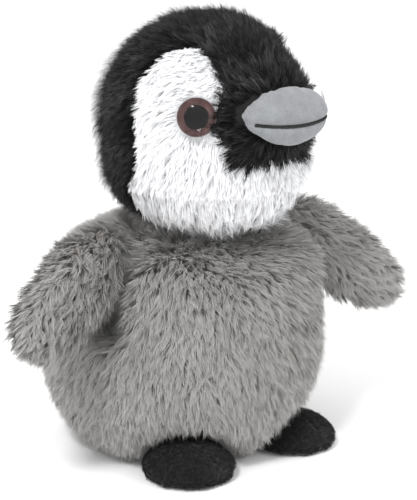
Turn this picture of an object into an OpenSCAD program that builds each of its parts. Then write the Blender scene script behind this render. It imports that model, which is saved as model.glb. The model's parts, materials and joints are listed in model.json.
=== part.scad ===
// Plush penguin chick: a seated soft toy sewn from separate fabric panels over loose fibre filling.
// Millimetres. It faces -Y, +Z is up, and the origin is the middle of its flat base.

/* [Torso] */
// widest radius of the torso, at the middle of the pile
torso_r = 58.5; // [48:0.5:68]
// height of the widest part of the torso
torso_mid_z = 45; // [38:1:52]
// half height of the rounded torso above and below its widest part
torso_half_h = 52; // [46:1:60]
// how square the shoulders are (2 is a plain ellipse)
shoulder_power = 4; // [2:0.1:5]
// how square the lower edge is (2 is a plain ellipse)
seat_power = 2.6; // [2:0.1:4]

/* [Head] */
// widest radius of the head, at the middle of the pile
head_r = 44; // [36:1:50]
// half height of the head
head_half_h = 41; // [36:0.5:50]
// height of the middle of the head
head_z = 140.5; // [130:0.5:150]
// how square the crown is (2 is a plain ellipse)
crown_power = 2.2; // [2:0.1:3]
// how full the jowls are (2 is a plain ellipse)
jowl_power = 4; // [2:0.1:5]
// radius of the padded muzzle behind the beak
muzzle_r = 27; // [18:1:28]
// how far forward of the head's middle the muzzle is centred
muzzle_fwd = 23.5; // [20:0.5:32]
// half width of the dark strip from crown to beak
gusset_half_w = 20.5; // [12:0.5:24]

/* [Neck] */
// height of the point the head turns and nods about
neck_z = 92; // [84:1:98]
// radius of the ball of filling in the neck
neck_r = 24; // [18:1:28]

/* [Fabric] */
// thickness of the plush fabric with its pile laid flat
pile_t = 3; // [2:0.5:5]
// thickness of the short-pile fabric on the feet and beak
felt_t = 1.4; // [0.8:0.2:2.4]
// play left between pieces that move against each other
play = 0.5; // [0.3:0.1:1]

/* [Beak] */
// width of the beak across its corners
beak_w = 40; // [30:1:48]
// height of the upper beak above the mouth line
beak_up_h = 13.5; // [8:0.5:18]
// height of the lower beak below the mouth line
beak_down_h = 10; // [7:0.5:16]
// height of the mouth line above the head's middle
mouth_up = 4.5; // [-4:0.5:10]
// half width of the ball that shapes the beak's front
beak_ball_x = 25; // [22:1:32]
// half depth of that ball
beak_ball_y = 14; // [10:1:18]
// half height of that ball
beak_ball_z = 16.5; // [15:0.5:20]
// how far the beak's front stands forward of the head's middle
beak_fwd = 55; // [50:1:62]
// diameter of the embroidered mouth line
mouth_line_d = 1.4; // [0.8:0.2:2]

/* [Eyes] */
// diameter of the plastic eye
eye_d = 15; // [10:0.5:18]
// height of the eye's dome
eye_h = 5; // [3:0.5:7]
// angle of each eye round from straight ahead
eye_turn = 45; // [34:1:55]
// angle of each eye above the head's middle
eye_lift = 8; // [0:0.5:20]

/* [Flippers] */
// length of a flipper
flipper_len = 71; // [54:1:80]
// width of a flipper
flipper_w = 37; // [24:1:40]
// thickness of a flipper
flipper_t = 15; // [10:1:18]
// lean of the resting left flipper out from straight down
splay_left = 46; // [40:1:70]
// lean of the resting right flipper out from straight down
splay_right = 60; // [40:1:70]
// how far forward the resting left flipper points
sweep_left = 34; // [0:1:36]
// how far forward the resting right flipper points
sweep_right = 14; // [0:1:36]
// distance of a shoulder from the middle line
shoulder_x = 47; // [44:0.5:52]
// distance of a shoulder in front of the middle of the torso
shoulder_fwd = 12; // [6:0.5:14]
// height of a shoulder
shoulder_z = 92; // [84:0.5:94]

/* [Feet] */
// length of a foot
foot_len = 41; // [30:1:44]
// width of a foot
foot_w = 40; // [28:1:42]
// height of a foot
foot_h = 13; // [9:1:15]
// distance of each foot from the middle line
foot_x = 28; // [26:1:32]
// distance of the foot's hinge seam in front of the base's middle
foot_seam_y = 18; // [14:1:22]

/* [Hidden] */
FINE = 96;
PROFILE_STEP = 10;
BIG = 240;
LEFT = 1;
RIGHT = -1;

// The torso's flat bottom fabric, and the head's set-back from the torso's middle.
base_t = 2;
head_y = -16;
neck_y = -6;
muzzle_up = 4;

// The head's colour panels, measured from the middle of the head.
gusset_low = -13;
muzzle_patch_w = 52;
muzzle_patch_h = 35;
muzzle_patch_back = -24;
collar_top = -27;
back_panel_y = 21;
arch_y = -22;
arch_z = 17;
arch_r = 16;
mask_back = -8;
mask_bend_z = -12;
mask_foot_y = 9;
mask_low_z = -38;

// Clear pockets in the torso: round a foot for its whole lift, and a slot that a flipper's root swings in.
foot_pocket_r = 24;
foot_pocket_drop = 2;
root_past_seam = 9;
slot_r = 35;
slot_from_x = 36.5;

// Safety eye: plate, stem and the washer that locks it behind the fabric.
eye_seat = 43;
plate_t = 1.2;
stem_r = 2;
stem_len = 15;
washer_r = 7;
washer_t = 1.6;
washer_back = 3;

foot_y = -foot_seam_y - foot_len / 2;
flipper_mid = flipper_len / 2 - root_past_seam;
beak_ball_mid_y = head_y - beak_fwd + beak_ball_y;
mouth_z = head_z + mouth_up;

// ---- shared forms ----

// Half outline of a rounded form, with its own squareness above and below the middle.
function round_points(r, h, up_power, down_power) = [
    for (a = [-90 : PROFILE_STEP : 90])
        let (p = a < 0 ? down_power : up_power)
        [r * pow(cos(a), 2 / p), sign(a) * h * pow(abs(sin(a)), 2 / p)]
];

module round_form(r, h, up_power, down_power)
    rotate_extrude($fn = FINE)
        polygon(round_points(r, h, up_power, down_power));

module above(z)
    translate([-BIG / 2, -BIG / 2, z])
        cube(BIG);

module below(z)
    translate([-BIG / 2, -BIG / 2, z - BIG])
        cube(BIG);

module front_of(y)
    translate([-BIG / 2, y - BIG, -BIG / 2])
        cube([BIG, BIG, 2 * BIG]);

module behind(y)
    translate([-BIG / 2, y, -BIG / 2])
        cube([BIG, BIG, 2 * BIG]);

module on_side(side)
    translate([side == LEFT ? 0 : -BIG, -BIG / 2, -BIG / 2])
        cube([BIG, BIG, 2 * BIG]);

function splay(side) = side == LEFT ? splay_left : splay_right;

function sweep(side) = side == LEFT ? sweep_left : sweep_right;

module at_shoulder(side)
    translate([side * shoulder_x, -shoulder_fwd, shoulder_z])
        rotate([0, -side * splay(side), 0])
            rotate([-sweep(side), 0, 0])
                children();

module at_eye(side)
    translate([0, head_y, head_z])
        rotate([0, 0, side * eye_turn])
            rotate([90 - eye_lift, 0, 0])
                children();

module neck_ball(extra)
    translate([0, neck_y, neck_z])
        sphere(r = neck_r + extra, $fn = FINE);

// ---- torso ----

module torso_form(inset)
    translate([0, 0, torso_mid_z])
        round_form(torso_r - inset, torso_half_h - inset, shoulder_power, seat_power);

module torso_pockets(lining) {
    neck_ball(play);
    translate([0, neck_y, neck_z])
        cylinder(r = neck_r + play, h = BIG, $fn = FINE);
    for (side = [LEFT, RIGHT]) {
        translate([side * foot_x, foot_y, -foot_pocket_drop])
            sphere(r = foot_pocket_r + lining, $fn = FINE);
        shoulder_slot(side, lining);
    }
}

module shoulder_slot(side, lining)
    intersection() {
        at_shoulder(side)
            rotate([90, 0, 0])
                cylinder(r = slot_r + lining, h = flipper_t + 2 * (play + lining), center = true, $fn = FINE);
        translate([side * (slot_from_x - lining), 0, 0])
            on_side(side);
    }

module torso_inside()
    difference() {
        intersection() {
            torso_form(pile_t);
            above(base_t);
        }
        torso_pockets(pile_t);
    }

module torso_skin()
    difference() {
        intersection() {
            torso_form(0);
            above(base_t);
        }
        torso_pockets(0);
        torso_inside();
    }

module torso_belly_panel()
    color("#96948f")
        intersection() {
            torso_skin();
            front_of(0);
        }

module torso_back(side)
    color("#96948f")
        intersection() {
            torso_skin();
            behind(0);
            on_side(side);
        }

module torso_back_panel_left() torso_back(LEFT);

module torso_back_panel_right() torso_back(RIGHT);

module torso_base_panel()
    color("#8a8884")
        difference() {
            intersection() {
                torso_form(0);
                above(0);
                below(base_t);
            }
            torso_pockets(0);
        }

module torso_filling()
    color("#f2f1ee")
        torso_inside();

module neck_filling()
    color("#f2f1ee")
        neck_ball(0);

// ---- head ----

module head_form(inset) {
    translate([0, head_y, head_z])
        round_form(head_r - inset, head_half_h - inset, crown_power, jowl_power);
    translate([0, head_y - muzzle_fwd, head_z + muzzle_up])
        sphere(r = muzzle_r - inset, $fn = FINE);
}

module head_skin()
    difference() {
        head_form(0);
        head_form(pile_t);
        neck_ball(play);
    }

// Side view of the pale mask: an arch over the eye, then a back edge that sweeps rearward at the neck.
module mask_region()
    translate([0, head_y, head_z])
        rotate([90, 0, 90])
            linear_extrude(BIG, center = true)
                polygon(concat(
                    [for (a = [0 : PROFILE_STEP : 180]) [arch_y + arch_r * cos(a), arch_z + arch_r * sin(a)]],
                    [[-BIG / 2, arch_z], [-BIG / 2, -BIG / 2], [mask_foot_y, -BIG / 2], [mask_foot_y, mask_low_z]],
                    [[mask_back, mask_bend_z]]
                ));

// A band over the crown that widens into a round patch behind the beak.
module gusset_region() {
    intersection() {
        translate([-gusset_half_w, -BIG / 2, head_z + gusset_low])
            cube([2 * gusset_half_w, BIG, BIG]);
        front_of(head_y + back_panel_y);
    }
    translate([0, head_y + muzzle_patch_back, mouth_z])
        rotate([90, 0, 0])
            scale([muzzle_patch_w / 2, muzzle_patch_h / 2, 1])
                cylinder(r = 1, h = BIG, $fn = FINE);
}

module eye_parts_room(side)
    at_eye(side) {
        translate([0, 0, eye_seat - plate_t])
            cylinder(d = eye_d, h = BIG, $fn = FINE);
        translate([0, 0, eye_seat - stem_len])
            cylinder(r = stem_r, h = stem_len, $fn = FINE);
    }

module head_hood(side)
    color("#191919")
        difference() {
            intersection() {
                head_skin();
                on_side(side);
                front_of(head_y + back_panel_y);
            }
            mask_region();
            gusset_region();
        }

module head_hood_left() head_hood(LEFT);

module head_hood_right() head_hood(RIGHT);

module head_crown_gusset()
    color("#1c1c1c")
        difference() {
            intersection() {
                head_skin();
                gusset_region();
            }
            for (side = [LEFT, RIGHT])
                eye_parts_room(side);
        }

module head_back_panel()
    color("#b9b8b5")
        intersection() {
            head_skin();
            behind(head_y + back_panel_y);
        }

module head_cheek(side)
    color("#f0f1f2")
        difference() {
            intersection() {
                head_skin();
                on_side(side);
                mask_region();
                above(head_z + collar_top);
            }
            gusset_region();
            eye_parts_room(side);
        }

module head_cheek_left() head_cheek(LEFT);

module head_cheek_right() head_cheek(RIGHT);

module head_collar()
    color("#eceded")
        intersection() {
            head_skin();
            mask_region();
            below(head_z + collar_top);
        }

module head_filling()
    color("#f2f1ee")
        difference() {
            head_form(pile_t);
            neck_ball(play);
            for (side = [LEFT, RIGHT]) {
                eye_stem_form(side);
                eye_washer(side);
            }
        }

// ---- beak ----

// Front outline of the beak: half an ellipse above the mouth line, and a shallow arc below it.
function arc_r(half_w, h) = (half_w * half_w + h * h) / (2 * h);

module beak_upper_outline(inset)
    intersection() {
        scale([beak_w / 2 - inset, beak_up_h - inset])
            circle(r = 1, $fn = FINE);
        translate([-BIG / 2, 0])
            square(BIG);
    }

module beak_lower_outline(inset)
    intersection() {
        translate([0, arc_r(beak_w / 2, beak_down_h) - beak_down_h])
            circle(r = arc_r(beak_w / 2, beak_down_h) - inset, $fn = FINE);
        translate([-BIG / 2, -BIG])
            square(BIG);
    }

module beak_prism()
    translate([0, 0, mouth_z])
        rotate([90, 0, 0])
            linear_extrude(BIG)
                children();

module beak_ball(inset)
    translate([0, beak_ball_mid_y, mouth_z])
        scale([beak_ball_x - inset, beak_ball_y - inset, beak_ball_z - inset])
            sphere(r = 1, $fn = FINE);

module beak_inside()
    difference() {
        intersection() {
            beak_ball(felt_t);
            beak_prism() {
                beak_upper_outline(felt_t);
                beak_lower_outline(felt_t);
            }
        }
        head_form(0);
    }

module beak_cover()
    color("#96989b")
        difference() {
            intersection() {
                beak_ball(0);
                beak_prism()
                    children();
            }
            head_form(0);
            beak_inside();
            translate([-BIG / 2, -BIG, mouth_z - mouth_line_d / 2])
                cube([BIG, BIG, mouth_line_d]);
        }

module beak_upper()
    beak_cover()
        beak_upper_outline(0);

module beak_lower()
    beak_cover()
        beak_lower_outline(0);

module beak_filling()
    color("#f2f1ee")
        beak_inside();

module beak_mouth_line()
    color("#161616")
        difference() {
            intersection() {
                beak_ball(0);
                beak_prism()
                    square([beak_w - 2 * felt_t, mouth_line_d], center = true);
            }
            beak_ball(felt_t);
            head_form(0);
        }

// ---- eyes ----

module eye_dome(side)
    color([0.22, 0.13, 0.12, 0.7])
        at_eye(side)
            intersection() {
                translate([0, 0, eye_seat + eye_h - arc_r(eye_d / 2, eye_h)])
                    sphere(r = arc_r(eye_d / 2, eye_h), $fn = FINE);
                translate([0, 0, eye_seat])
                    cylinder(d = eye_d, h = eye_h * 2, $fn = FINE);
            }

module eye_dome_left() eye_dome(LEFT);

module eye_dome_right() eye_dome(RIGHT);

module eye_stem_form(side)
    at_eye(side) {
        translate([0, 0, eye_seat - plate_t])
            cylinder(d = eye_d, h = plate_t, $fn = FINE);
        translate([0, 0, eye_seat - stem_len])
            cylinder(r = stem_r, h = stem_len - plate_t / 2, $fn = FINE);
    }

module eye_stem(side)
    color("#120f0f")
        eye_stem_form(side);

module eye_stem_left() eye_stem(LEFT);

module eye_stem_right() eye_stem(RIGHT);

module eye_washer(side)
    color("#e6e6e2")
        at_eye(side)
            translate([0, 0, eye_seat - washer_back - washer_t])
                difference() {
                    cylinder(r = washer_r, h = washer_t, $fn = FINE);
                    translate([0, 0, -washer_t / 2])
                        cylinder(r = stem_r, h = 2 * washer_t, $fn = FINE);
                }

module eye_washer_left() eye_washer(LEFT);

module eye_washer_right() eye_washer(RIGHT);

// ---- flippers ----

module flipper_form(inset)
    translate([0, 0, -flipper_mid])
        scale([flipper_w / 2 - inset, flipper_t / 2 - inset, flipper_len / 2 - inset])
            sphere(r = 1, $fn = FINE);

module flipper_shell()
    difference() {
        flipper_form(0);
        flipper_form(pile_t);
    }

module flipper_front(side)
    color("#9a9894")
        at_shoulder(side)
            intersection() {
                flipper_shell();
                front_of(0);
            }

module flipper_back(side)
    color("#9a9894")
        at_shoulder(side)
            intersection() {
                flipper_shell();
                behind(0);
            }

module flipper_front_left() flipper_front(LEFT);

module flipper_back_left() flipper_back(LEFT);

module flipper_front_right() flipper_front(RIGHT);

module flipper_back_right() flipper_back(RIGHT);

module flipper_filling(side)
    color("#f2f1ee")
        at_shoulder(side)
            flipper_form(pile_t);

module flipper_filling_left() flipper_filling(LEFT);

module flipper_filling_right() flipper_filling(RIGHT);

// ---- feet ----

module foot_form(side, inset)
    intersection() {
        translate([side * foot_x, foot_y, 0])
            scale([foot_w / 2 - inset, foot_len / 2 - inset, foot_h - inset])
                sphere(r = 1, $fn = FINE);
        above(0);
    }

module foot_upper(side)
    color("#1b1b1b")
        difference() {
            foot_form(side, 0);
            foot_form(side, felt_t);
            below(felt_t);
        }

module foot_upper_left() foot_upper(LEFT);

module foot_upper_right() foot_upper(RIGHT);

module foot_sole(side)
    color("#161616")
        intersection() {
            foot_form(side, 0);
            below(felt_t);
        }

module foot_sole_left() foot_sole(LEFT);

module foot_sole_right() foot_sole(RIGHT);

module foot_filling(side)
    color("#f2f1ee")
        intersection() {
            foot_form(side, felt_t);
            above(felt_t);
        }

module foot_filling_left() foot_filling(LEFT);

module foot_filling_right() foot_filling(RIGHT);

// ---- assembly ----

torso_belly_panel();
torso_back_panel_left();
torso_back_panel_right();
torso_base_panel();
torso_filling();
neck_filling();
head_hood_left();
head_hood_right();
head_crown_gusset();
head_back_panel();
head_cheek_left();
head_cheek_right();
head_collar();
head_filling();
beak_upper();
beak_lower();
beak_filling();
beak_mouth_line();
eye_dome_left();
eye_dome_right();
eye_stem_left();
eye_stem_right();
eye_washer_left();
eye_washer_right();
flipper_front_left();
flipper_back_left();
flipper_filling_left();
flipper_front_right();
flipper_back_right();
flipper_filling_right();
foot_upper_left();
foot_sole_left();
foot_filling_left();
foot_upper_right();
foot_sole_right();
foot_filling_right();
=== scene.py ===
import json
import math

import bmesh
import bpy
import numpy as np
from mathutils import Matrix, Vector
from mathutils.bvhtree import BVHTree
from mathutils.kdtree import KDTree


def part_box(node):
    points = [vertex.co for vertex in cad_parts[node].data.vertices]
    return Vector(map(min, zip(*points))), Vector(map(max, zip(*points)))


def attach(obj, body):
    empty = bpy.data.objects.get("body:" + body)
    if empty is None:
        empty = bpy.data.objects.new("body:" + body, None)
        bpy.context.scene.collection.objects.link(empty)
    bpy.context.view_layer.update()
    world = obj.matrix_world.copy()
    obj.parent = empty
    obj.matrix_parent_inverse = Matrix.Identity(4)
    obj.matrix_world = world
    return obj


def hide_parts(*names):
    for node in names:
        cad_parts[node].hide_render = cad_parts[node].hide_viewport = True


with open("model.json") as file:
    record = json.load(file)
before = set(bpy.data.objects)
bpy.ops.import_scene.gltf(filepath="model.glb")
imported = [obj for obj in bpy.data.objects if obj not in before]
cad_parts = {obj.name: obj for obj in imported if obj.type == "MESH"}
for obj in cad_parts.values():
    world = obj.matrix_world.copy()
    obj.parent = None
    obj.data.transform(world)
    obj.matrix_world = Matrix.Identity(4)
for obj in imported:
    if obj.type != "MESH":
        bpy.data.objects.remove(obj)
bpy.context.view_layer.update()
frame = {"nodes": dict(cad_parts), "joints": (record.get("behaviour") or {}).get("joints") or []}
MM = 0.001
SIDES = (("left", 1.0), ("right", -1.0))
FLOOR_CLEAR = 0.3 * MM
CLOTH_SCALE = 10.0
CLOTH_FRAMES = 20
LUMP_SIZE = 34 * MM
NOISE_OCTAVES = 3
HAIR_STATIONS = (0.0, 0.38, 0.72, 1.0)
HAIR_TAPER = (1.0, 0.95, 0.62, 0.0)
HAIR_TRIANGLES = 5


# ---------------------------------------------------------------- arrays and meshes


def unit(v):
    return v / np.maximum(np.linalg.norm(v, axis=-1, keepdims=True), 1e-12)


def smoothstep(lo, hi, x):
    t = np.clip((x - lo) / (hi - lo), 0.0, 1.0)
    return t * t * (3 - 2 * t)


def mesh_arrays(me, matrix=None):
    v = np.empty(len(me.vertices) * 3, dtype=np.float32)
    me.vertices.foreach_get("co", v)
    v = v.reshape(-1, 3).astype(float)
    if matrix is not None:
        m = np.array(matrix)
        v = v @ m[:3, :3].T + m[:3, 3]
    me.calc_loop_triangles()
    t = np.empty(len(me.loop_triangles) * 3, dtype=np.int32)
    me.loop_triangles.foreach_get("vertices", t)
    return v, t.reshape(-1, 3)


def node_arrays(name):
    o = frame["nodes"][name]
    return mesh_arrays(o.data, o.matrix_world)


def new_object(name, me):
    o = bpy.data.objects.new(name, me)
    bpy.context.scene.collection.objects.link(o)
    return o


def object_from(name, verts, faces):
    me = bpy.data.meshes.new(name)
    me.from_pydata([tuple(p) for p in verts], [], [tuple(int(i) for i in f) for f in faces])
    me.update()
    return new_object(name, me)


def applied(o):
    """The mesh of o with its modifiers applied; o itself is removed."""
    graph = bpy.context.evaluated_depsgraph_get()
    me = bpy.data.meshes.new_from_object(o.evaluated_get(graph))
    old = o.data
    bpy.data.objects.remove(o)
    bpy.data.meshes.remove(old)
    return me


def fbm(p, scale, seed):
    """Smooth noise in -1..1 from summed sine waves in random directions."""
    r = np.random.default_rng(seed)
    out = np.zeros(len(p))
    total = 0.0
    for k in range(NOISE_OCTAVES):
        for _ in range(5):
            d = unit(r.normal(size=3))
            out += 0.5**k * np.sin(p @ d * (2 * math.pi * 2**k / scale) + r.random() * 6.283)
            total += 0.5**k * 0.42
    return np.clip(out / total, -1.6, 1.6)


# ---------------------------------------------------------------- soft forms


def soft_form(nodes, voxel, grow, pressure, cap, lumps, seed, smooth=4):
    """A stuffed form: the CAD solids remeshed, blown up as cloth, capped, then lightly lumped."""
    verts, faces, base = [], [], 0
    for n in nodes:
        v, t = node_arrays(n)
        verts.append(v)
        faces.append(t + base)
        base += len(v)
    o = object_from("form", np.concatenate(verts) * CLOTH_SCALE, np.concatenate(faces))
    m = o.modifiers.new("remesh", "REMESH")
    m.mode = "VOXEL"
    m.voxel_size = voxel * CLOTH_SCALE
    m.use_smooth_shade = True
    s = o.modifiers.new("smooth", "SMOOTH")
    s.iterations = smooth
    me = applied(o)
    o = new_object("form", me)
    rest, _ = mesh_arrays(me)
    cloth = o.modifiers.new("cloth", "CLOTH")
    cloth.settings.quality = 5
    cloth.settings.mass = 0.4
    cloth.settings.tension_stiffness = 18
    cloth.settings.compression_stiffness = 18
    cloth.settings.bending_stiffness = 2.0
    cloth.settings.use_pressure = True
    cloth.settings.uniform_pressure_force = pressure
    cloth.settings.effector_weights.gravity = 0
    cloth.point_cache.frame_start = 1
    cloth.point_cache.frame_end = CLOTH_FRAMES + 4
    for f in range(1, CLOTH_FRAMES + 1):
        bpy.context.scene.frame_set(f)
    me = applied(o)
    bpy.context.scene.frame_set(1)
    now, _ = mesh_arrays(me)
    move = now - rest
    far = np.linalg.norm(move, axis=1, keepdims=True)
    move *= np.minimum(1.0, cap * CLOTH_SCALE / np.maximum(far, 1e-9))
    me.vertices.foreach_set("co", (rest + move).ravel())
    me.update()
    o = new_object("form", me)
    sub = o.modifiers.new("sub", "SUBSURF")
    sub.levels = 1
    sub.render_levels = 1
    me = applied(o)
    v, _ = mesh_arrays(me)
    n = vertex_normals(me)
    v = v / CLOTH_SCALE
    v = v + n * (grow + lumps * fbm(v, LUMP_SIZE, seed))[:, None]
    me.vertices.foreach_set("co", v.ravel())
    me.update()
    return me


def on_floor(me, stretch=1.0):
    """Stretches a form upward if asked, and presses its underside flat just clear of the floor."""
    v, _ = mesh_arrays(me)
    v[:, 2] = np.maximum(v[:, 2] * stretch, FLOOR_CLEAR)
    me.vertices.foreach_set("co", v.ravel())
    me.update()


def clear_feet(me):
    """Presses the torso out of the round pocket that each foot lifts in, as wide as the CAD leaves it."""
    v, _ = mesh_arrays(me)
    cut = node_arrays("torso_belly_panel")[0]
    for side, _ in SIDES:
        lo, hi = box("foot_filling_" + side)
        centre = np.array([(lo[0] + hi[0]) / 2, (lo[1] + hi[1]) / 2, 0.0])
        room = np.linalg.norm(cut - centre, axis=1).min()
        away = v - centre
        far = np.linalg.norm(away, axis=1, keepdims=True)
        v = np.where(far < room, centre + away / np.maximum(far, 1e-9) * room, v)
    v[:, 2] = np.maximum(v[:, 2], FLOOR_CLEAR)
    me.vertices.foreach_set("co", v.ravel())
    me.update()


def vertex_normals(me):
    n = np.empty(len(me.vertices) * 3, dtype=np.float32)
    me.vertices.foreach_get("normal", n)
    return n.reshape(-1, 3).astype(float)


class Classifier:
    """Which CAD panel lies outside a point, found by looking in along its normal."""

    def __init__(self, nodes):
        self.nodes = list(nodes)
        verts, faces, self.owner, base = [], [], [], 0
        for i, n in enumerate(self.nodes):
            v, t = node_arrays(n)
            verts.append(v)
            faces.append(t + base)
            self.owner += [i] * len(t)
            base += len(v)
        self.tree = BVHTree.FromPolygons(
            [tuple(p) for p in np.concatenate(verts)], [tuple(f) for f in np.concatenate(faces).tolist()]
        )

    def __call__(self, p, n, reach=0.012):
        out = np.full(len(p), -1)
        for i in range(len(p)):
            start = Vector(p[i] + n[i] * reach)
            hit = self.tree.ray_cast(start, Vector(-n[i]), reach * 2.0)
            if hit[2] is None:
                hit = self.tree.find_nearest(Vector(p[i]), reach)
            if hit[2] is not None:
                out[i] = self.owner[hit[2]]
        return out


def scatter(me, count, seed):
    """Evenly spread points over a mesh, with smooth normals."""
    r = np.random.default_rng(seed)
    v, t = mesh_arrays(me)
    n = vertex_normals(me)
    a, b, c = v[t[:, 0]], v[t[:, 1]], v[t[:, 2]]
    area = np.linalg.norm(np.cross(b - a, c - a), axis=1) / 2
    edges = np.cumsum(area)
    u = (np.arange(count) + r.random(count)) / count * edges[-1]
    f = np.minimum(np.searchsorted(edges, u), len(t) - 1)
    x, y = r.random(count), r.random(count)
    flip = x + y > 1
    x[flip], y[flip] = 1 - x[flip], 1 - y[flip]
    w = np.stack([1 - x - y, x, y], axis=1)
    p = (v[t[f]] * w[:, :, None]).sum(1)
    nn = unit((n[t[f]] * w[:, :, None]).sum(1))
    return p, nn


# ---------------------------------------------------------------- pile


def pile_mesh(name, roots, normals, nap, length, shade, style, seed):
    """Tufts of fine tapering hairs. Each tuft leans along the nap, and its hairs draw together at the tip."""
    r = np.random.default_rng(seed)
    n_tuft, k = len(roots), style["hairs"]
    nap = unit(nap - (nap * normals).sum(1, keepdims=True) * normals)
    side = np.cross(normals, nap)
    swirl = r.normal(size=n_tuft) * style["stray"] + style["swirl"] * fbm(roots, 0.016, seed + 5)
    nap, side = (
        nap * np.cos(swirl)[:, None] + side * np.sin(swirl)[:, None],
        side * np.cos(swirl)[:, None] - nap * np.sin(swirl)[:, None],
    )
    lift = style["lift"] + style["lift_var"] * r.normal(size=n_tuft)
    lift = np.clip(lift, 0.08, 1.3)
    length = length * (1 + style["len_var"] * r.normal(size=n_tuft)).clip(0.45, 1.5)
    curl = r.normal(size=n_tuft) * style["curl"]

    def per_hair(x):
        return np.repeat(x, k, axis=0)

    a = r.random(n_tuft * k) * 2 * math.pi
    rad = np.sqrt(r.random(n_tuft * k)) * style["spread"]
    off = per_hair(nap) * (np.cos(a) * rad * 1.3)[:, None] + per_hair(side) * (np.sin(a) * rad)[:, None]
    N, T, S = per_hair(normals), per_hair(nap), per_hair(side)
    L = per_hair(length) * (0.72 + 0.4 * r.random(n_tuft * k))
    lf = per_hair(lift) + 0.10 * r.normal(size=n_tuft * k)
    base = per_hair(roots)
    p0 = base + off
    rise = np.clip(lf + style["rise"], 0.1, 1.45)
    p1 = p0 + (T * np.cos(rise)[:, None] + N * np.sin(rise)[:, None]) * (L * 0.42)[:, None]
    tip_dir = T * np.cos(lf)[:, None] + N * np.sin(lf)[:, None] + S * per_hair(curl)[:, None]
    free_tip = p0 + unit(tip_dir) * L[:, None]
    tuft_tip = base + unit(tip_dir) * (L * 1.02)[:, None]
    jitter = r.normal(size=(n_tuft * k, 3)) * style["fray"]
    p3 = free_tip * (1 - style["clump"]) + tuft_tip * style["clump"] + jitter
    pts = []
    for t in HAIR_STATIONS:
        pts.append(p0 * (1 - t) ** 2 + p1 * (2 * t * (1 - t)) + p3 * t * t)
    for q in pts:
        q[:, 2] = np.maximum(q[:, 2], FLOOR_CLEAR)
    axis = unit(pts[-1] - pts[0])
    flat = unit(np.cross(axis, N) + 1e-9)
    roll = (r.random(n_tuft * k) - 0.5) * style["roll"]
    up = np.cross(flat, axis)
    flat = flat * np.cos(roll)[:, None] + up * np.sin(roll)[:, None]
    up = np.cross(flat, axis)
    w = style["width"] * (0.75 + 0.5 * r.random(n_tuft * k)) / 2
    rows = []
    for q, tw in zip(pts[:-1], HAIR_TAPER[:-1]):
        rows += [q - flat * (w * tw)[:, None], q + flat * (w * tw)[:, None]]
    rows.append(pts[-1])
    per = len(rows)
    verts = np.stack(rows, axis=1).reshape(-1, 3)
    segs = len(pts) - 1
    loops, starts, at = [], [], 0
    for i in range(segs):
        starts.append(at)
        if i < segs - 1:
            loops += [2 * i, 2 * i + 1, 2 * i + 3, 2 * i + 2]
            at += 4
        else:
            loops += [2 * i, 2 * i + 1, 2 * i + 2]
            at += 3
    hairs = n_tuft * k
    loop_verts = (np.array(loops)[None] + per * np.arange(hairs)[:, None]).ravel()
    loop_start = (np.array(starts)[None] + at * np.arange(hairs)[:, None]).ravel()
    me = bpy.data.meshes.new(name)
    me.vertices.add(len(verts))
    me.vertices.foreach_set("co", verts.astype(np.float32).ravel())
    me.loops.add(len(loop_verts))
    me.loops.foreach_set("vertex_index", loop_verts.astype(np.int32))
    me.polygons.add(hairs * segs)
    me.polygons.foreach_set("loop_start", loop_start.astype(np.int32))
    # Painted shade and light: each hair's root segment is coloured darker, as painted shade between the
    # hairs, and its tip segment lighter, as painted light and glints on the tips, on top of the hair's own
    # random tone.
    step = np.linspace(-style["root_dark"], style["tip_light"], segs)
    hair_shade = per_hair(shade) + 0.35 * r.normal(size=hairs)
    level = np.round(hair_shade[:, None] + step[None]).astype(int)
    level = np.clip(level, 0, len(style["shades"]) - 1)
    me.polygons.foreach_set("material_index", level.ravel().astype(np.int32))
    me.polygons.foreach_set("use_smooth", np.ones(hairs * segs, dtype=bool))
    me.update(calc_edges=True)
    face = np.cross(flat, axis)
    face *= np.sign((face * N).sum(1, keepdims=True)) + 1e-6
    blend = unit(N * style["soft"] + unit(face) * (1 - style["soft"]))
    me.normals_split_custom_set_from_vertices(np.repeat(blend, per, axis=0).tolist())
    for m in style["shades"]:
        me.materials.append(m)
    return me


# ---------------------------------------------------------------- materials


def principled(name, color, rough, sheen=0.0, sheen_rough=0.5, specular=0.5):
    m = bpy.data.materials.new(name)
    m.use_nodes = True
    b = m.node_tree.nodes["Principled BSDF"]
    b.inputs["Base Color"].default_value = (*color, 1.0)
    b.inputs["Roughness"].default_value = rough
    b.inputs["Sheen Weight"].default_value = sheen
    b.inputs["Sheen Roughness"].default_value = sheen_rough
    b.inputs["Specular IOR Level"].default_value = specular
    return m


# Steps of one pile colour from dark to light; pile_mesh picks from them for each hair's own random tone, for
# painted shade at the roots and for painted light at the tips.
def hair_shades(name, dark, light, steps, sheen, bend=1.0):
    out = []
    for i in range(steps):
        t = (i / (steps - 1)) ** bend
        color = [a * (1 - t) + b * t for a, b in zip(dark, light)]
        out.append(principled(f"{name}_{i}", color, 0.85, sheen=sheen, sheen_rough=0.45, specular=0.18))
    return out


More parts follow.
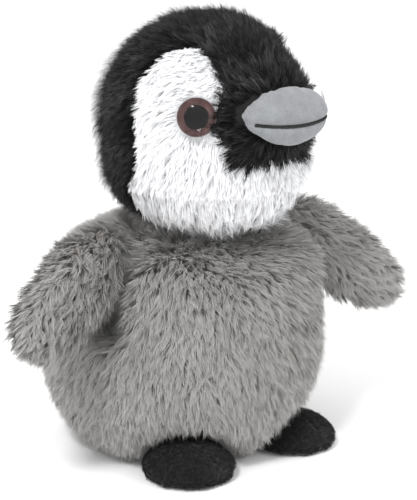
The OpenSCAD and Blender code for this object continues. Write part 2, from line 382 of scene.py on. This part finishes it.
def cloth(name, dark, light, scale, bump, rough=0.9, sheen=0.3, stretch=(1, 1, 1), distance=0.0006):
    """Woven or brushed cloth: two sizes of noise in the colour, and a fine grain in the bump."""
    m = principled(name, light, rough, sheen=sheen)
    nt = m.node_tree
    b = nt.nodes["Principled BSDF"]
    coord = nt.nodes.new("ShaderNodeTexCoord")
    mapping = nt.nodes.new("ShaderNodeMapping")
    mapping.inputs["Scale"].default_value = stretch
    nt.links.new(coord.outputs["Object"], mapping.inputs["Vector"])
    big = nt.nodes.new("ShaderNodeTexNoise")
    big.inputs["Scale"].default_value = scale * 0.12
    big.inputs["Detail"].default_value = 3.0
    fine = nt.nodes.new("ShaderNodeTexNoise")
    fine.inputs["Scale"].default_value = scale
    fine.inputs["Detail"].default_value = 5.0
    fine.inputs["Roughness"].default_value = 0.7
    for n in (big, fine):
        nt.links.new(mapping.outputs["Vector"], n.inputs["Vector"])
    mix = nt.nodes.new("ShaderNodeMix")
    mix.inputs["Factor"].default_value = 0.6
    nt.links.new(big.outputs["Fac"], mix.inputs["A"])
    nt.links.new(fine.outputs["Fac"], mix.inputs["B"])
    ramp = nt.nodes.new("ShaderNodeValToRGB")
    ramp.color_ramp.elements[0].position = 0.36
    ramp.color_ramp.elements[0].color = (*dark, 1)
    ramp.color_ramp.elements[1].position = 0.64
    ramp.color_ramp.elements[1].color = (*light, 1)
    nt.links.new(mix.outputs["Result"], ramp.inputs["Fac"])
    nt.links.new(ramp.outputs["Color"], b.inputs["Base Color"])
    bm = nt.nodes.new("ShaderNodeBump")
    bm.inputs["Strength"].default_value = bump
    bm.inputs["Distance"].default_value = distance
    nt.links.new(fine.outputs["Fac"], bm.inputs["Height"])
    nt.links.new(bm.outputs["Normal"], b.inputs["Normal"])
    return m


GREY_BACK = cloth("grey_backing", (0.10, 0.085, 0.078), (0.2, 0.18, 0.17), 900, 0.5)
BLACK_BACK = cloth("black_backing", (0.003, 0.003, 0.003), (0.008, 0.008, 0.008), 900, 0.5, sheen=0.05)
WHITE_BACK = cloth("white_backing", (0.6, 0.6, 0.61), (0.8, 0.8, 0.81), 900, 0.5)
# Back-of-head panel cloth: partly the panel's own grey, partly painted rim light that makes it paler than the
# body's grey.
GREY_PAINTED_RIM_LIGHT_BACK = cloth("grey_backing_painted_rim_light", (0.2, 0.2, 0.2), (0.36, 0.36, 0.36), 900, 0.5)
FIBRE = cloth(
    "polyester_fibre", (0.7, 0.7, 0.68), (0.9, 0.9, 0.88), 260, 0.8, stretch=(1, 1, 3), distance=0.002
)
VELOUR = cloth("black_velour", (0.004, 0.004, 0.0045), (0.02, 0.02, 0.021), 1500, 0.6, sheen=0.25)
SUEDE = cloth(
    "grey_suede", (0.165, 0.171, 0.18), (0.255, 0.263, 0.275), 1900, 0.55, sheen=0.25, distance=0.0003
)

GREY_SHADES = hair_shades("grey_pile", (0.19, 0.182, 0.176), (0.475, 0.468, 0.458), 7, 0.2)
BLACK_SHADES = hair_shades("black_pile", (0.0025, 0.0025, 0.0028), (0.075, 0.075, 0.078), 6, 0.05, bend=2.2)
WHITE_SHADES = hair_shades("white_pile", (0.66, 0.66, 0.675), (0.95, 0.955, 0.965), 5, 0.2)
# Back-of-head pile: partly the panel's own grey, partly painted rim light that makes it paler than the body
# pile.
GREY_PAINTED_RIM_LIGHT_SHADES = hair_shades("grey_pile_painted_rim_light", (0.25, 0.25, 0.25), (0.72, 0.72, 0.72), 6, 0.25)
VELOUR_SHADES = hair_shades("velour_pile", (0.0025, 0.0025, 0.0028), (0.05, 0.05, 0.052), 5, 0.05, bend=1.8)
THREAD = cloth("black_embroidery_thread", (0.003, 0.003, 0.003), (0.012, 0.012, 0.012), 2500, 0.4, sheen=0.1)


def plastic(name, dark, light, rough, coat, scale, bump=0.05):
    """Moulded plastic: a slow drift of colour and a faint uneven surface."""
    m = cloth(name, dark, light, scale, bump, rough=rough, sheen=0.0, distance=0.0001)
    b = m.node_tree.nodes["Principled BSDF"]
    b.inputs["Coat Weight"].default_value = coat
    b.inputs["Coat Roughness"].default_value = 0.05
    return m


DARK_PLASTIC = plastic("dark_plastic", (0.010, 0.008, 0.008), (0.02, 0.017, 0.017), 0.35, 0.3, 300)
WHITE_PLASTIC = plastic("white_plastic", (0.62, 0.62, 0.6), (0.75, 0.75, 0.73), 0.4, 0.1, 300)
PUPIL = plastic("eye_pupil", (0.001, 0.001, 0.001), (0.003, 0.0025, 0.0025), 0.6, 0.0, 400)
IRIS = plastic("eye_iris", (0.03, 0.011, 0.01), (0.14, 0.07, 0.066), 0.6, 0.0, 1400)
EYE_RIM = plastic("eye_rim", (0.08, 0.045, 0.042), (0.17, 0.11, 0.105), 0.6, 0.0, 500)
for m in (PUPIL, IRIS, EYE_RIM):
    m.node_tree.nodes["Principled BSDF"].inputs["Specular IOR Level"].default_value = 0.05
CLEAR = principled("clear_plastic", (0.98, 0.97, 0.97), 0.01)
CLEAR.node_tree.nodes["Principled BSDF"].inputs["Transmission Weight"].default_value = 1.0
CLEAR.node_tree.nodes["Principled BSDF"].inputs["IOR"].default_value = 1.24

# ---------------------------------------------------------------- places, all from the CAD

TORSO_PANELS = ("torso_belly_panel", "torso_back_panel_left", "torso_back_panel_right", "torso_base_panel")
HEAD_PANELS = (
    "head_hood_left", "head_hood_right", "head_crown_gusset", "head_back_panel",
    "head_cheek_left", "head_cheek_right", "head_collar",
)


def box(node):
    lo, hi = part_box(node)
    return np.array(lo, dtype=float), np.array(hi, dtype=float)


def middle(node):
    lo, hi = box(node)
    return (lo + hi) / 2


def centroid(node):
    v, t = node_arrays(node)
    a, b, c = v[t[:, 0]], v[t[:, 1]], v[t[:, 2]]
    area = np.linalg.norm(np.cross(b - a, c - a), axis=1)
    return ((a + b + c) / 3 * area[:, None]).sum(0) / area.sum()


joint_at = {j["name"]: np.array(j["pos_m"], dtype=float) for j in frame["joints"]}
neck = joint_at["neck_turn"]
neck_r = (box("neck_filling")[1][2] - box("neck_filling")[0][2]) / 2
head_lo = np.minimum.reduce([box(n)[0] for n in HEAD_PANELS])
head_hi = np.maximum.reduce([box(n)[1] for n in HEAD_PANELS])
head_mid = np.array([0.0, (box("head_hood_left")[1][1] + head_lo[1]) / 2, (head_lo[2] + head_hi[2]) / 2])
beak_lo = np.minimum(box("beak_upper")[0], box("beak_lower")[0])
beak_hi = np.maximum(box("beak_upper")[1], box("beak_lower")[1])
mouth_z = middle("beak_mouth_line")[2]
beak_mid = np.array([0.0, (beak_lo[1] + beak_hi[1]) / 2, mouth_z])
eyes = {name: centroid("eye_dome_" + name) for name, _ in SIDES}
eye_axis = {name: unit(eyes[name] - centroid("eye_stem_" + name)) for name, _ in SIDES}
off_axis = np.cross(node_arrays("eye_dome_left")[0] - eyes["left"], eye_axis["left"])
eye_r = np.linalg.norm(off_axis, axis=1).max()

# ---------------------------------------------------------------- soft forms under the pile

torso_form = soft_form(["torso_filling"], 5 * MM, 0.4 * MM, 4.0, 3 * MM, 0.9 * MM, 3)
head_soft = soft_form(["head_filling"], 4.5 * MM, 0.4 * MM, 4.0, 2.5 * MM, 0.7 * MM, 4)
on_floor(torso_form)
clear_feet(torso_form)
neck_soft = soft_form(["neck_filling"], 5 * MM, -0.6 * MM, 3.0, 1 * MM, 0.4 * MM, 12)
beak_soft = soft_form(["beak_filling"], 0.9 * MM, 1.4 * MM, 2.0, 0.7 * MM, 0.1 * MM, 8, smooth=12)
flipper_soft = {
    side: soft_form(["flipper_filling_" + side], 3 * MM, 1.6 * MM, 3.5, 2.6 * MM, 0.8 * MM, 5 + i)
    for i, (side, _) in enumerate(SIDES)
}
foot_soft = {
    side: soft_form(["foot_filling_" + side], 2.5 * MM, 1.0 * MM, 3.0, 1.6 * MM, 0.5 * MM, 9 + i)
    for i, (side, _) in enumerate(SIDES)
}
FOOT_STRETCH = 1.08
for form in foot_soft.values():
    on_floor(form, FOOT_STRETCH)

torso_class = Classifier(TORSO_PANELS)
head_class = Classifier(HEAD_PANELS)
flipper_class = {side: Classifier([f"flipper_front_{side}", f"flipper_back_{side}"]) for side, _ in SIDES}


def piece(o, body, finish, *nodes):
    """Settles a made piece: what it rides on and the CAD nodes it stands for; finish is not used."""
    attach(o, body)
    if nodes:
        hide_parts(*nodes)
    return o


def stuffing(form, node, body, depth):
    """The filling itself: the soft form drawn in by the thickness of its cover."""
    me = form.copy()
    v, _ = mesh_arrays(me)
    v = v - vertex_normals(me) * depth
    me.vertices.foreach_set("co", v.ravel())
    me.update()
    me.materials.clear()
    me.materials.append(FIBRE)
    o = piece(new_object(node + "_soft", me), body, "fibre_filling", node)
    return o


def skins(form, classifier, material, thickness=0.8 * MM):
    """Cuts the soft form into one cloth piece per CAD panel."""
    v, t = mesh_arrays(form)
    n = vertex_normals(form)
    centre = v[t].mean(1)
    owner = classifier(centre, unit(n[t].mean(1)))
    out = {}
    for i, node in enumerate(classifier.nodes):
        keep = t[owner == i]
        if not len(keep):
            continue
        used, inverse = np.unique(keep, return_inverse=True)
        o = object_from(node + "_cloth", v[used], inverse.reshape(-1, 3))
        solid = o.modifiers.new("thickness", "SOLIDIFY")
        solid.thickness = thickness
        solid.offset = -1
        for p in o.data.polygons:
            p.use_smooth = True
        o.data.materials.append(material[i])
        out[node] = o
    return out


def seam_distance(p, owner, k_nodes):
    """How far each point is from the nearest point that belongs to another panel."""
    out = np.full(len(p), 1.0)
    for i in range(k_nodes):
        others = np.flatnonzero((owner != i) & (owner >= 0))
        mine = np.flatnonzero(owner == i)
        if not len(others) or not len(mine):
            continue
        tree = KDTree(len(others))
        for j in others:
            tree.insert(Vector(p[j]), int(j))
        tree.balance()
        for j in mine:
            out[j] = tree.find(Vector(p[j]))[2]
    return out


MOST_TUFT_FACES = 180000


def pile_pieces(form, classifier, density, seed, nap_of, style_of, skip, body):
    """Tufts over a soft form, in pieces for each panel that shows pile."""
    area = sum(p.area for p in form.polygons)
    count = int(area * 1e6 * density)
    p, n = scatter(form, count, seed)
    keep = ~skip(p, n)
    p, n = p[keep], n[keep]
    owner = classifier(p, n)
    seam = seam_distance(p, owner, len(classifier.nodes))
    r = np.random.default_rng(seed + 1)
    for i, node in enumerate(classifier.nodes):
        style = style_of(node)
        mine = np.flatnonzero(owner == i)
        if style is None or len(mine) < 20:
            continue
        parts = 1 + len(mine) * style["hairs"] * HAIR_TRIANGLES // MOST_TUFT_FACES
        for k, some in enumerate(np.array_split(mine[np.argsort(p[mine, 2])], parts)):
            q, qn, d = p[some], n[some], seam[some]
            near = smoothstep(0.4 * MM, style["seam_reach"], d)
            length = style["length"] * (style["seam_short"] + (1 - style["seam_short"]) * near)
            if "length_of" in style:
                length = length * style["length_of"](q)
            # Painted shade: pile close to a seam between panels is coloured darker, where shade falls into
            # the seam.
            shade = style["shade"] - style["seam_dark"] * (1 - near)
            shade = shade + style["shade_var"] * (fbm(q, 0.02, seed + 9) + 0.7 * r.normal(size=len(q)))
            name = f"{node}_pile_{k + 1}"
            me = pile_mesh(name, q, qn, nap_of(node, q, qn), length, shade, style, seed + 20 + 10 * i + k)
            piece(new_object(name, me), body, style["finish"])


def style(shades, **over):
    base = dict(
        shades=shades, finish="grey_plush", hairs=12, spread=1.05 * MM, width=0.23 * MM,
        length=6.5 * MM, lift=0.72,
        lift_var=0.14, rise=0.42, len_var=0.12, stray=0.24, swirl=0.32, curl=0.14, clump=0.38, fray=0.34 * MM,
        # Hair roots get painted shade and hair tips get painted light, by the root and tip amounts below.
        roll=1.6, root_dark=1.15, tip_light=1.0, shade=3.6, shade_var=0.42, soft=0.62,
        seam_short=0.8, seam_reach=3.0 * MM, seam_dark=0.0,
    )
    base.update(over)
    return base


GREY_STYLE = style(GREY_SHADES)
FLIPPER_STYLE = style(GREY_SHADES, length=7.6 * MM, stray=0.3, swirl=0.4, curl=0.18, lift=0.56)
BLACK_STYLE = style(
    BLACK_SHADES, finish="black_plush", length=6.0 * MM, hairs=10, width=0.26 * MM, spread=1.1 * MM,
    lift=0.55,
    shade=1.5, shade_var=0.75, root_dark=1.2, tip_light=1.4, seam_short=0.85, seam_dark=0.4,
)
WHITE_STYLE = style(
    WHITE_SHADES, finish="white_plush", length=6.3 * MM, hairs=11, width=0.27 * MM, spread=1.1 * MM,
    lift=0.42,
    shade=3.0, shade_var=0.35, root_dark=1.0, tip_light=0.9, clump=0.5, stray=0.2,
    seam_short=0.38, seam_dark=0.3, seam_reach=6.5 * MM,
)
NECK_STYLE = style(GREY_SHADES, length=6.0 * MM, lift=0.9)
neck_rise = neck_r * 0.35
# Back-of-head pile style: its paler tone is partly painted rim light.
GREY_PAINTED_RIM_LIGHT_STYLE = style(GREY_PAINTED_RIM_LIGHT_SHADES, length=8.5 * MM, shade=3.2, finish="pale_grey_plush", lift=0.6)


def torso_nap(node, p, n):
    return np.tile([0.0, 0.0, -1.0], (len(p), 1)) + 0.25 * unit(p - neck) * [1, 1, 0]


def torso_skip(p, n):
    in_neck = np.linalg.norm(p - neck, axis=1) < neck_r + 1.0 * MM
    return in_neck | (p[:, 2] < 2.5 * MM)


beak_tree = BVHTree.FromPolygons(*[a.tolist() for a in mesh_arrays(beak_soft)])


def behind_beak(p, margin=1.3 * MM):
    """True where the beak lies straight in front of a point, and for some way round it."""
    out = np.zeros(len(p), dtype=bool)
    near = (np.abs(p[:, 0]) < beak_hi[0]) & (p[:, 1] < head_mid[1])
    near &= (p[:, 2] > beak_lo[2]) & (p[:, 2] < beak_hi[2])
    steps = [(0, 0), (margin, 0), (-margin, 0), (0, margin), (0, -margin)]
    for i in np.flatnonzero(near):
        hits = 0
        for dx, dz in steps:
            start = Vector((p[i, 0] + dx, p[i, 1] - 0.03, p[i, 2] + dz))
            hits += beak_tree.ray_cast(start, Vector((0, 1, 0)), 0.06)[2] is not None
        out[i] = hits == len(steps)
    return out


def head_skip(p, n):
    out = np.linalg.norm(p - neck, axis=1) < neck_r + 2.0 * MM
    for name, _ in SIDES:
        away = p - eyes[name]
        flat = away - (away @ eye_axis[name])[:, None] * eye_axis[name]
        out |= (np.linalg.norm(flat, axis=1) < eye_r * 1.02) & (away @ eye_axis[name] > -0.008)
    return out | behind_beak(p)


def head_nap(node, p, n):
    from_beak = p - beak_mid
    reach = np.linalg.norm(from_beak, axis=1)[:, None]
    if node.startswith("head_cheek"):
        away = p - eyes["left" if node.endswith("left") else "right"]
        r = np.linalg.norm(away, axis=1)[:, None]
        fall = np.array([0, 0.25, -0.8])
        out_from_eye = unit(away) * np.clip(1.1 - r / (22 * MM), 0.1, 1.1)
        return out_from_eye + unit(from_beak) * np.exp(-reach / (26 * MM)) + fall
    if node == "head_collar":
        return np.tile([0.0, 0.0, -1.0], (len(p), 1)) + 0.3 * unit(p - neck) * [1, 1, 0]
    if node == "head_crown_gusset":
        near = np.clip(1.6 - reach / (22 * MM), 0.3, 1.3)
        return unit(from_beak) * near + np.array([0, 0.6, 0.0])
    if node == "head_back_panel":
        return np.tile([0.0, 0.0, -1.0], (len(p), 1))
    return np.tile([0.0, 0.75, -0.8], (len(p), 1))


def head_style(node):
    if node.startswith("head_cheek") or node == "head_collar":
        return WHITE_STYLE
    if node == "head_back_panel":
        return GREY_PAINTED_RIM_LIGHT_STYLE
    return BLACK_STYLE


def hem_longer(q):
    """Pile along the bottom of the head hangs over the neck seam."""
    return 1 + 0.7 * (1 - smoothstep(head_lo[2] + 3 * MM, head_lo[2] + 12 * MM, q[:, 2]))


def crown_longer(q):
    """Pile on the crown stands a little taller."""
    return 1 + 0.35 * smoothstep(head_hi[2] - 14 * MM, head_hi[2], q[:, 2])


def shoulder_longer(q):
    """Body pile round each flipper's root is long enough to cover the gap it swings in."""
    out = np.ones(len(q))
    for name, _ in SIDES:
        d = np.linalg.norm(q - joint_at[f"flipper_{name}_raise"], axis=1)
        out += 0.5 * (1 - smoothstep(22 * MM, 46 * MM, d))
    return out


def round_eyes(q):
    """Pile is trimmed short right round the eyes."""
    out = np.ones(len(q))
    for name, _ in SIDES:
        d = np.linalg.norm(q - eyes[name], axis=1)
        out *= 0.55 + 0.45 * smoothstep(eye_r, eye_r + 9 * MM, d)
    return out


WHITE_STYLE["length_of"] = lambda q: hem_longer(q) * round_eyes(q)
BLACK_STYLE["length_of"] = lambda q: hem_longer(q) * crown_longer(q)
GREY_STYLE["length_of"] = shoulder_longer

# ---------------------------------------------------------------- torso, neck and head

stuffing(torso_form, "torso_filling", "torso", 0.9 * MM)
stuffing(head_soft, "head_filling", "head", 0.9 * MM)
neck_o = stuffing(neck_soft, "neck_filling", "neck", 0.0)
neck_o.data.materials.clear()
neck_o.data.materials.append(GREY_BACK)

for node, o in skins(torso_form, torso_class, [GREY_BACK] * 4).items():
    piece(o, "torso", "grey_base_cloth" if node == "torso_base_panel" else "grey_plush", node)
HEAD_BACKS = [BLACK_BACK, BLACK_BACK, BLACK_BACK, GREY_PAINTED_RIM_LIGHT_BACK, WHITE_BACK, WHITE_BACK, WHITE_BACK]
for node, o in skins(head_soft, head_class, HEAD_BACKS).items():
    piece(o, "head", head_style(node)["finish"], node)

pile_pieces(
    torso_form, torso_class, 0.42, 100, torso_nap,
    lambda node: None if node == "torso_base_panel" else GREY_STYLE, torso_skip, "torso",
)
pile_pieces(head_soft, head_class, 0.42, 200, head_nap, head_style, head_skip, "head")
pile_pieces(
    neck_soft, Classifier(["neck_filling"]), 0.5, 400,
    lambda node, p, n: np.tile([0.0, 0.0, -1.0], (len(p), 1)) + 0.4 * n,
    lambda node: NECK_STYLE, lambda p, n: np.abs(p[:, 2] - neck[2] - neck_rise) > neck_rise, "neck",
)

# ---------------------------------------------------------------- flippers

for side, sign in SIDES:
    hinge = joint_at[f"flipper_{side}_raise"]
    v, _ = node_arrays(f"flipper_filling_{side}")
    tip = v[np.argmax(np.linalg.norm(v - hinge, axis=1))]
    along = unit(tip - hinge)

    def flipper_nap(node, p, n, hinge=hinge, along=along):
        fan = p - hinge
        fan = fan - (fan @ along)[:, None] * along
        return along + fan * 22.0 + np.array([0, 0, -0.15])

    body = f"flipper_{side}"
    stuffing(flipper_soft[side], f"flipper_filling_{side}", body, 0.9 * MM)
    for node, o in skins(flipper_soft[side], flipper_class[side], [GREY_BACK, GREY_BACK]).items():
        piece(o, body, "grey_plush", node)
    pile_pieces(
        flipper_soft[side], flipper_class[side], 0.42, 300 + int(sign), flipper_nap,
        lambda node: FLIPPER_STYLE, lambda p, n: np.zeros(len(p), dtype=bool), body,
    )

# ---------------------------------------------------------------- beak and feet: covers in two halves


def pinch(me, level, depth, width):
    """Draws a closed form in along a level seam."""
    v, _ = mesh_arrays(me)
    v = v - vertex_normals(me) * (depth * np.exp(-(((v[:, 2] - level) / width) ** 2)))[:, None]
    me.vertices.foreach_set("co", v.ravel())
    me.update()


def half(me, name, level, above, material, thickness):
    """One side of a closed form that is cut at a level, as cloth."""
    bm = bmesh.new()
    bm.from_mesh(me)
    geom = bm.verts[:] + bm.edges[:] + bm.faces[:]
    bmesh.ops.bisect_plane(
        bm, geom=geom, plane_co=(0, 0, level), plane_no=(0, 0, 1), clear_inner=above, clear_outer=not above
    )
    out = bpy.data.meshes.new(name)
    bm.to_mesh(out)
    bm.free()
    for p in out.polygons:
        p.use_smooth = True
    out.materials.clear()
    out.materials.append(material)
    o = new_object(name, out)
    solid = o.modifiers.new("thickness", "SOLIDIFY")
    solid.thickness = thickness
    solid.offset = -1
    return o


def tubes(name, paths, radius, sides, material):
    """Fine threads: one closed tapering tube along each path."""
    verts, faces = [], []
    for path in paths:
        base, last = len(verts), len(path) - 1
        for i, q in enumerate(path):
            t = unit(path[min(i + 1, last)] - path[max(i - 1, 0)])
            a = unit(np.cross(t, [0.31, 0.2, 0.93]))
            b = np.cross(t, a)
            r = radius * (0.45 if i in (0, last) else 1.0)
            for k in range(sides):
                w = 2 * math.pi * k / sides
                verts.append(q + (a * math.cos(w) + b * math.sin(w)) * r)
        for i in range(last):
            for k in range(sides):
                j = (k + 1) % sides
                here, there = base + i * sides, base + (i + 1) * sides
                faces.append((here + k, here + j, there + j, there + k))
        faces.append(tuple(base + k for k in reversed(range(sides))))
        faces.append(tuple(base + last * sides + k for k in range(sides)))
    me = bpy.data.meshes.new(name)
    me.from_pydata([tuple(x) for x in verts], [], faces)
    me.update()
    for p in me.polygons:
        p.use_smooth = True
    me.materials.append(material)
    return new_object(name, me)


MOUTH_SAG = 1.8 * MM


def sag(v):
    """Curves the level mouth line so that it dips in the middle."""
    across = np.clip(1 - (v[:, 0] / beak_hi[0]) ** 2, 0, 1)
    v = np.array(v)
    v[:, 2] -= MOUTH_SAG * across * np.exp(-(((v[:, 2] - mouth_z) / (7 * MM)) ** 2))
    return v


def sagged(o):
    v, _ = mesh_arrays(o.data)
    o.data.vertices.foreach_set("co", sag(v).ravel())
    o.data.update()
    return o


sagged(stuffing(beak_soft, "beak_filling", "head", 1.6 * MM))
pinch(beak_soft, mouth_z, 0.8 * MM, 1.3 * MM)
for name, above in (("beak_upper", True), ("beak_lower", False)):
    o = sagged(half(beak_soft, name + "_suede", mouth_z, above, SUEDE, 1.0 * MM))
    piece(o, "head", "grey_suede", name)

mouth = []
lo, hi = box("beak_mouth_line")
beak_tree = BVHTree.FromPolygons(*[a.tolist() for a in mesh_arrays(beak_soft)])
for x in np.linspace(lo[0] + 0.2 * MM, hi[0] - 0.2 * MM, 150):
    hit = beak_tree.ray_cast(Vector((x, lo[1] - 0.02, mouth_z)), Vector((0, 1, 0)), 0.06)
    if hit[0] is not None:
        mouth.append((np.array(hit[0]), np.array(hit[1])))
stitches = []
r = np.random.default_rng(40)
for i in range(1, len(mouth) - 1):
    at, normal = mouth[i]
    along = unit(mouth[i + 1][0] - mouth[i - 1][0])
    normal = unit(np.array([normal[0], normal[1], 0.0]))
    across = np.cross(normal, along)
    slant = unit(across + along * (0.5 + 0.15 * r.normal()))
    reach = 0.85 * MM * (1 + 0.12 * r.normal())
    stitches.append([
        at + slant * reach * u + normal * 0.55 * MM * (1 - u * u) - normal * 0.1 * MM
        for u in (-1, -0.5, 0, 0.5, 1)
    ])
stitches = [sag(np.array(path)) for path in stitches]
piece(tubes("beak_mouth_stitches", stitches, 0.2 * MM, 6, THREAD), "head", "black_thread", "beak_mouth_line")

VELOUR_STYLE = style(
    VELOUR_SHADES, finish="black_velour", length=1.7 * MM, hairs=8, width=0.15 * MM, spread=0.7 * MM,
    lift=0.5,
    shade=1.4, shade_var=0.6, root_dark=1.0, tip_light=1.3, clump=0.25, stray=0.4, swirl=0.4, fray=0.12 * MM,
)
for side, sign in SIDES:
    body, form = f"foot_{side}", foot_soft[side]
    seam_z = box(f"foot_sole_{side}")[1][2] + 2.4 * MM
    stuffing(form, f"foot_filling_{side}", body, 1.1 * MM)
    pinch(form, seam_z, 0.7 * MM, 0.9 * MM)
    for node, above in ((f"foot_upper_{side}", True), (f"foot_sole_{side}", False)):
        piece(half(form, node + "_cloth", seam_z, above, VELOUR, 0.8 * MM), body, "black_velour", node)
    mid = middle(f"foot_filling_{side}")
    p, n = scatter(form, int(sum(q.area for q in form.polygons) * 1e6 * 1.5), 60 + int(sign))
    keep = p[:, 2] > 1.2 * MM
    p, n = p[keep], n[keep]
    ridge = np.abs(p[:, 0] - mid[0])
    nap = np.stack([np.sign(p[:, 0] - mid[0]) * 0.9, np.full(len(p), -0.5), np.full(len(p), -0.4)], axis=1)
    length = VELOUR_STYLE["length"] * (1 + 0.35 * np.exp(-((ridge / (4 * MM)) ** 2)))
    length *= 0.55 + 0.45 * smoothstep(0.2 * MM, 1.6 * MM, np.abs(p[:, 2] - seam_z))
    rr = np.random.default_rng(70 + int(sign))
    # Besides a random tone, pile along the ridge on top of the foot is coloured lighter: a painted highlight
    # where the nap faces the light.
    shade = 1.3 + 0.5 * rr.normal(size=len(p)) + 0.9 * np.exp(-((ridge / (5 * MM)) ** 2)) * (p[:, 2] > seam_z)
    me = pile_mesh(f"foot_{side}_pile", p, n, nap, length, shade, VELOUR_STYLE, 80 + int(sign))
    piece(new_object(f"foot_{side}_pile", me), body, "black_velour")

# ---------------------------------------------------------------- eyes


def lathe(name, base, axis, profile, materials, steps=64):
    """A turned form. profile lists (radius, height, material index of the band that starts there)."""
    u = unit(np.cross([0, 0, 1.0], axis))
    w = np.cross(axis, u)
    verts, rings = [], []
    for r, h, _ in profile:
        if r < 1e-6:
            rings.append([len(verts)])
            verts.append(base + axis * h)
            continue
        rings.append(list(range(len(verts), len(verts) + steps)))
        for k in range(steps):
            a = 2 * math.pi * k / steps
            verts.append(base + axis * h + (u * math.cos(a) + w * math.sin(a)) * r)
    faces, mats = [], []
    for (a, b), (_, _, m) in zip(zip(rings, rings[1:]), profile):
        for k in range(steps):
            j = (k + 1) % steps
            if len(a) == 1:
                faces.append((a[0], b[j], b[k]))
            elif len(b) == 1:
                faces.append((a[k], a[j], b[0]))
            else:
                faces.append((a[k], a[j], b[j], b[k]))
            mats.append(m)
    me = bpy.data.meshes.new(name)
    me.from_pydata([tuple(x) for x in verts], [], faces)
    me.update()
    for p, m in zip(me.polygons, mats):
        p.use_smooth = True
        p.material_index = m
    for m in materials:
        me.materials.append(m)
    return new_object(name, me)


for side, _ in SIDES:
    axis = eye_axis[side]
    v, _ = node_arrays("eye_dome_" + side)
    heights = v @ axis
    base = eyes[side] + axis * (heights.min() - eyes[side] @ axis)
    tall = heights.max() - heights.min()
    reach = v - base
    reach = reach - (reach @ axis)[:, None] * axis
    eye_r = np.linalg.norm(reach, axis=1).max()
    dome = [
        (0.0, 0.35 * MM, 0), (eye_r * 0.96, 0.35 * MM, 0), (eye_r, 0.6 * MM, 0), (eye_r * 0.995, 0.9 * MM, 0),
    ]
    for k in range(1, 15):
        a = math.pi / 2 * k / 15
        dome.append((eye_r * 0.99 * math.cos(a), 0.9 * MM + (tall - 0.9 * MM) * math.sin(a), 0))
    dome.append((0.0, tall, 0))
    glass = lathe(f"eye_lens_{side}", base, axis, dome, [CLEAR])
    piece(glass, "head", "clear_plastic", "eye_dome_" + side)
    paint = [
        (eye_r * 0.985, 0.02 * MM, 2), (eye_r * 0.97, 0.24 * MM, 2), (eye_r * 0.9, 0.28 * MM, 1),
        (eye_r * 0.75, 0.26 * MM, 1), (eye_r * 0.58, 0.22 * MM, 0), (eye_r * 0.56, 0.3 * MM, 0),
        (eye_r * 0.3, 0.33 * MM, 0), (0.0, 0.34 * MM, 0),
    ]
    back = lathe(f"eye_colours_{side}", base, axis, paint, [PUPIL, IRIS, EYE_RIM])
    piece(back, "head", "dark_plastic")

# ---------------------------------------------------------------- CAD nodes carried over

for side, _ in SIDES:
    for node, material in (("eye_stem_", DARK_PLASTIC), ("eye_washer_", WHITE_PLASTIC)):
        me = frame["nodes"][node + side].data
        me.materials.clear()
        me.materials.append(material)

# ---------------------------------------------------------------- stage, light, camera

floor_me = bpy.data.meshes.new("floor")
floor_me.from_pydata([(-3, -3, 0), (3, -3, 0), (3, 3, 0), (-3, 3, 0)], [], [(0, 1, 2, 3)])
floor = new_object("floor", floor_me)
floor.data.materials.append(principled("floor_paper", (0.97, 0.97, 0.97), 0.7, specular=0.2))

scene = bpy.context.scene
scene.view_settings.view_transform = "Standard"
world = bpy.data.worlds.new("studio")
world.use_nodes = True
world.node_tree.nodes["Background"].inputs["Color"].default_value = (1, 1, 1, 1)
world.node_tree.nodes["Background"].inputs["Strength"].default_value = 1.06
scene.world = world


LIT_POINT = (0, 0, 0.1)


def area_light(name, at, size, power):
    d = bpy.data.lights.new(name, "AREA")
    d.size = size
    d.energy = power
    o = bpy.data.objects.new(name, d)
    o.location = at
    o.rotation_euler = (Vector(LIT_POINT) - Vector(at)).to_track_quat("-Z", "Y").to_euler()
    scene.collection.objects.link(o)


area_light("key", (-0.73, -0.37, 1.0), 0.22, 9)
area_light("fill", (0.5, -1.3, 0.9), 0.8, 5)

AZIMUTH, ELEVATION, DISTANCE = -39.7, 13.8, 0.6
AIM_RIGHT, AIM_DOWN = 10.8 * MM, 12.8 * MM
FRAME_HEIGHT = 0.2105
cam = bpy.data.cameras.new("camera")
cam.sensor_fit = "VERTICAL"
cam.sensor_height = 24
cam.lens = cam.sensor_height * DISTANCE / FRAME_HEIGHT
camera = bpy.data.objects.new("camera", cam)
az, el = math.radians(AZIMUTH), math.radians(ELEVATION)
out = Vector((math.sin(az) * math.cos(el), -math.cos(az) * math.cos(el), math.sin(el)))
right = Vector((math.cos(az), math.sin(az), 0.0))
up = out.cross(right)
centre = Vector((0.0, 0.0, 0.095)) + right * AIM_RIGHT - up * AIM_DOWN
camera.location = centre + out * DISTANCE
camera.rotation_euler = (-out).to_track_quat("-Z", "Y").to_euler()
scene.collection.objects.link(camera)
scene.camera = camera
